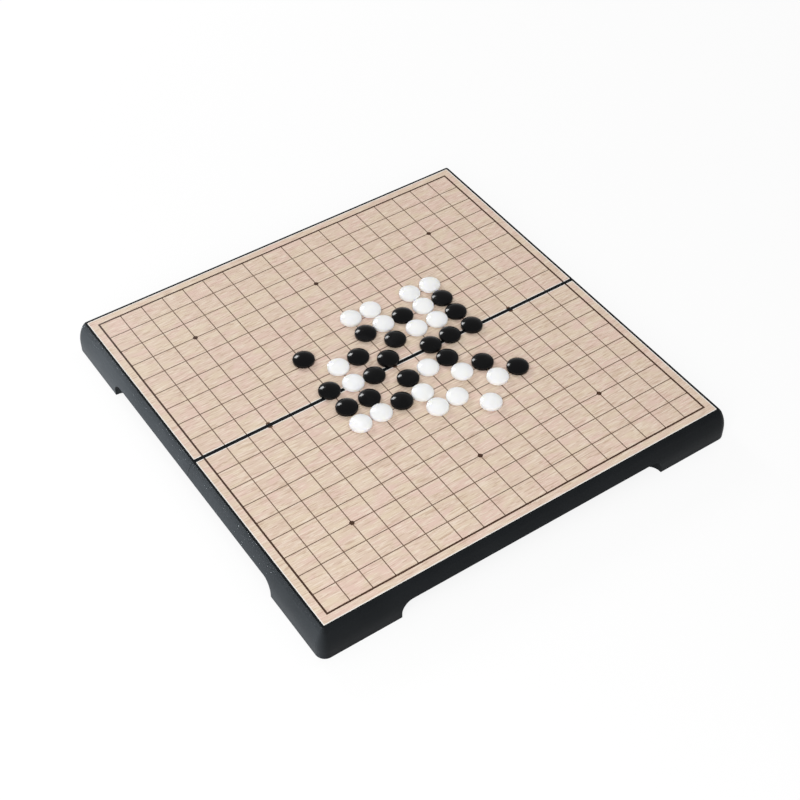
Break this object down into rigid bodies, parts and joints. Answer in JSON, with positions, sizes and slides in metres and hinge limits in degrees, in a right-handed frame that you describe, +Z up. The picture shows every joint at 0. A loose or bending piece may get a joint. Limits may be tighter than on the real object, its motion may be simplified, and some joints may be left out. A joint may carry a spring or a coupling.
{
  "type": "folding magnetic go set",
  "caption": "Hinged two-part case with a printed grid of lines on top, corner feet, stone trays with sliding lids below, and domed magnetic stones laid out in play.",
  "frame": {"origin": "on the table under the middle of the open board", "axes": "+X along the seam to the right, +Y to the back half, +Z up out of the playing surface"},
  "size_m": [0.2842, 0.2842, 0.0257],
  "materials": {
    "case_plastic": "satin black moulded plastic",
    "wood_print": "satin printed pale wood grain on plastic film",
    "grid_ink": "dark brown printing ink",
    "sheet_steel": "zinc plated sheet",
    "tray_plastic": "fine matt black moulded plastic",
    "lid_plastic": "matt charcoal moulded plastic",
    "link_plastic": "satin black moulded plastic",
    "fastener_steel": "bright zinc plating",
    "magnet_plating": "nickel plated magnet",
    "black_stone": "polished black plastic",
    "white_stone": "polished white plastic"
  },
  "bodies": {
    "back_half": {"back_shell": "case_plastic", "back_steel_sheet": "sheet_steel", "back_grid_sheet": "wood_print", "back_grid_lines": "grid_ink", "back_stone_tray": "tray_plastic", "back_tray_screws": "fastener_steel", "back_closing_magnets": "magnet_plating", "back_hinge_pins": "fastener_steel"},
    "hinge_links": {"left_hinge_link": "link_plastic", "right_hinge_link": "link_plastic"},
    "front_half": {"front_shell": "case_plastic", "front_steel_sheet": "sheet_steel", "front_grid_sheet": "wood_print", "front_grid_lines": "grid_ink", "front_stone_tray": "tray_plastic", "front_tray_screws": "fastener_steel", "front_closing_magnets": "magnet_plating", "front_hinge_pins": "fastener_steel"},
    "back_tray_lid": {"back_tray_lid": "lid_plastic"},
    "front_tray_lid": {"front_tray_lid": "lid_plastic"},
    "black_stone_01": {"black_stone_01": "black_stone"},
    "black_stone_02": {"black_stone_02": "black_stone"},
    "black_stone_03": {"black_stone_03": "black_stone"},
    "black_stone_04": {"black_stone_04": "black_stone"},
    "black_stone_05": {"black_stone_05": "black_stone"},
    "black_stone_06": {"black_stone_06": "black_stone"},
    "black_stone_07": {"black_stone_07": "black_stone"},
    "black_stone_08": {"black_stone_08": "black_stone"},
    "black_stone_09": {"black_stone_09": "black_stone"},
    "black_stone_10": {"black_stone_10": "black_stone"},
    "black_stone_11": {"black_stone_11": "black_stone"},
    "black_stone_12": {"black_stone_12": "black_stone"},
    "black_stone_13": {"black_stone_13": "black_stone"},
    "black_stone_14": {"black_stone_14": "black_stone"},
    "black_stone_15": {"black_stone_15": "black_stone"},
    "black_stone_16": {"black_stone_16": "black_stone"},
    "black_stone_17": {"black_stone_17": "black_stone"},
    "black_stone_18": {"black_stone_18": "black_stone"},
    "black_stone_19": {"black_stone_19": "black_stone"},
    "black_stone_20": {"black_stone_20": "black_stone"},
    "white_stone_01": {"white_stone_01": "white_stone"},
    "white_stone_02": {"white_stone_02": "white_stone"},
    "white_stone_03": {"white_stone_03": "white_stone"},
    "white_stone_04": {"white_stone_04": "white_stone"},
    "white_stone_05": {"white_stone_05": "white_stone"},
    "white_stone_06": {"white_stone_06": "white_stone"},
    "white_stone_07": {"white_stone_07": "white_stone"},
    "white_stone_08": {"white_stone_08": "white_stone"},
    "white_stone_09": {"white_stone_09": "white_stone"},
    "white_stone_10": {"white_stone_10": "white_stone"},
    "white_stone_11": {"white_stone_11": "white_stone"},
    "white_stone_12": {"white_stone_12": "white_stone"},
    "white_stone_13": {"white_stone_13": "white_stone"},
    "white_stone_14": {"white_stone_14": "white_stone"},
    "white_stone_15": {"white_stone_15": "white_stone"},
    "white_stone_16": {"white_stone_16": "white_stone"},
    "white_stone_17": {"white_stone_17": "white_stone"},
    "white_stone_18": {"white_stone_18": "white_stone"},
    "white_stone_19": {"white_stone_19": "white_stone"}
  },
  "joints": [
    {"name": "fold", "type": "hinge", "parent": "back_half", "child": "hinge_links", "pos_m": [0, 0.00525, 0.005], "axis": [1, 0, 0], "range_deg": [0, 90]},
    {"name": "front_fold", "type": "hinge", "parent": "hinge_links", "child": "front_half", "pos_m": [0, -0.00525, 0.005], "axis": [1, 0, 0], "range_deg": [0, 90]},
    {"name": "back_lid_slide", "type": "slide", "parent": "back_half", "child": "back_tray_lid", "axis": [0, 1, 0], "range_m": [0, 0.1]},
    {"name": "front_lid_slide", "type": "slide", "parent": "front_half", "child": "front_tray_lid", "axis": [0, -1, 0], "range_m": [0, 0.1]},
    {"name": "black_stone_01_lift", "type": "slide", "parent": "back_half", "child": "black_stone_01", "axis": [0, 0, 1], "range_m": [0, 0.025]},
    {"name": "black_stone_02_lift", "type": "slide", "parent": "back_half", "child": "black_stone_02", "axis": [0, 0, 1], "range_m": [0, 0.025]},
    {"name": "black_stone_03_lift", "type": "slide", "parent": "back_half", "child": "black_stone_03", "axis": [0, 0, 1], "range_m": [0, 0.025]},
    {"name": "black_stone_04_lift", "type": "slide", "parent": "back_half", "child": "black_stone_04", "axis": [0, 0, 1], "range_m": [0, 0.025]},
    {"name": "black_stone_05_lift", "type": "slide", "parent": "back_half", "child": "black_stone_05", "axis": [0, 0, 1], "range_m": [0, 0.025]},
    {"name": "black_stone_06_lift", "type": "slide", "parent": "back_half", "child": "black_stone_06", "axis": [0, 0, 1], "range_m": [0, 0.025]},
    {"name": "black_stone_07_lift", "type": "slide", "parent": "back_half", "child": "black_stone_07", "axis": [0, 0, 1], "range_m": [0, 0.025]},
    {"name": "black_stone_08_lift", "type": "slide", "parent": "back_half", "child": "black_stone_08", "axis": [0, 0, 1], "range_m": [0, 0.025]},
    {"name": "black_stone_09_lift", "type": "slide", "parent": "back_half", "child": "black_stone_09", "axis": [0, 0, 1], "range_m": [0, 0.025]},
    {"name": "black_stone_10_lift", "type": "slide", "parent": "back_half", "child": "black_stone_10", "axis": [0, 0, 1], "range_m": [0, 0.025]},
    {"name": "black_stone_11_lift", "type": "slide", "parent": "back_half", "child": "black_stone_11", "axis": [0, 0, 1], "range_m": [0, 0.025]},
    {"name": "black_stone_12_lift", "type": "slide", "parent": "front_half", "child": "black_stone_12", "axis": [0, 0, 1], "range_m": [0, 0.025]},
    {"name": "black_stone_13_lift", "type": "slide", "parent": "back_half", "child": "black_stone_13", "axis": [0, 0, 1], "range_m": [0, 0.025]},
    {"name": "black_stone_14_lift", "type": "slide", "parent": "front_half", "child": "black_stone_14", "axis": [0, 0, 1], "range_m": [0, 0.025]},
    {"name": "black_stone_15_lift", "type": "slide", "parent": "front_half", "child": "black_stone_15", "axis": [0, 0, 1], "range_m": [0, 0.025]},
    {"name": "black_stone_16_lift", "type": "slide", "parent": "front_half", "child": "black_stone_16", "axis": [0, 0, 1], "range_m": [0, 0.025]},
    {"name": "black_stone_17_lift", "type": "slide", "parent": "front_half", "child": "black_stone_17", "axis": [0, 0, 1], "range_m": [0, 0.025]},
    {"name": "black_stone_18_lift", "type": "slide", "parent": "front_half", "child": "black_stone_18", "axis": [0, 0, 1], "range_m": [0, 0.025]},
    {"name": "black_stone_19_lift", "type": "slide", "parent": "front_half", "child": "black_stone_19", "axis": [0, 0, 1], "range_m": [0, 0.025]},
    {"name": "black_stone_20_lift", "type": "slide", "parent": "front_half", "child": "black_stone_20", "axis": [0, 0, 1], "range_m": [0, 0.025]},
    {"name": "white_stone_01_lift", "type": "slide", "parent": "back_half", "child": "white_stone_01", "axis": [0, 0, 1], "range_m": [0, 0.025]},
    {"name": "white_stone_02_lift", "type": "slide", "parent": "back_half", "child": "white_stone_02", "axis": [0, 0, 1], "range_m": [0, 0.025]},
    {"name": "white_stone_03_lift", "type": "slide", "parent": "back_half", "child": "white_stone_03", "axis": [0, 0, 1], "range_m": [0, 0.025]},
    {"name": "white_stone_04_lift", "type": "slide", "parent": "back_half", "child": "white_stone_04", "axis": [0, 0, 1], "range_m": [0, 0.025]},
    {"name": "white_stone_05_lift", "type": "slide", "parent": "back_half", "child": "white_stone_05", "axis": [0, 0, 1], "range_m": [0, 0.025]},
    {"name": "white_stone_06_lift", "type": "slide", "parent": "back_half", "child": "white_stone_06", "axis": [0, 0, 1], "range_m": [0, 0.025]},
    {"name": "white_stone_07_lift", "type": "slide", "parent": "back_half", "child": "white_stone_07", "axis": [0, 0, 1], "range_m": [0, 0.025]},
    {"name": "white_stone_08_lift", "type": "slide", "parent": "back_half", "child": "white_stone_08", "axis": [0, 0, 1], "range_m": [0, 0.025]},
    {"name": "white_stone_09_lift", "type": "slide", "parent": "back_half", "child": "white_stone_09", "axis": [0, 0, 1], "range_m": [0, 0.025]},
    {"name": "white_stone_10_lift", "type": "slide", "parent": "back_half", "child": "white_stone_10", "axis": [0, 0, 1], "range_m": [0, 0.025]},
    {"name": "white_stone_11_lift", "type": "slide", "parent": "front_half", "child": "white_stone_11", "axis": [0, 0, 1], "range_m": [0, 0.025]},
    {"name": "white_stone_12_lift", "type": "slide", "parent": "front_half", "child": "white_stone_12", "axis": [0, 0, 1], "range_m": [0, 0.025]},
    {"name": "white_stone_13_lift", "type": "slide", "parent": "front_half", "child": "white_stone_13", "axis": [0, 0, 1], "range_m": [0, 0.025]},
    {"name": "white_stone_14_lift", "type": "slide", "parent": "front_half", "child": "white_stone_14", "axis": [0, 0, 1], "range_m": [0, 0.025]},
    {"name": "white_stone_15_lift", "type": "slide", "parent": "front_half", "child": "white_stone_15", "axis": [0, 0, 1], "range_m": [0, 0.025]},
    {"name": "white_stone_16_lift", "type": "slide", "parent": "front_half", "child": "white_stone_16", "axis": [0, 0, 1], "range_m": [0, 0.025]},
    {"name": "white_stone_17_lift", "type": "slide", "parent": "front_half", "child": "white_stone_17", "axis": [0, 0, 1], "range_m": [0, 0.025]},
    {"name": "white_stone_18_lift", "type": "slide", "parent": "front_half", "child": "white_stone_18", "axis": [0, 0, 1], "range_m": [0, 0.025]},
    {"name": "white_stone_19_lift", "type": "slide", "parent": "front_half", "child": "white_stone_19", "axis": [0, 0, 1], "range_m": [0, 0.025]}
  ],
  "couplings": [
    {"joint": "front_fold", "follows": "fold", "ratio": 1}
  ]
}
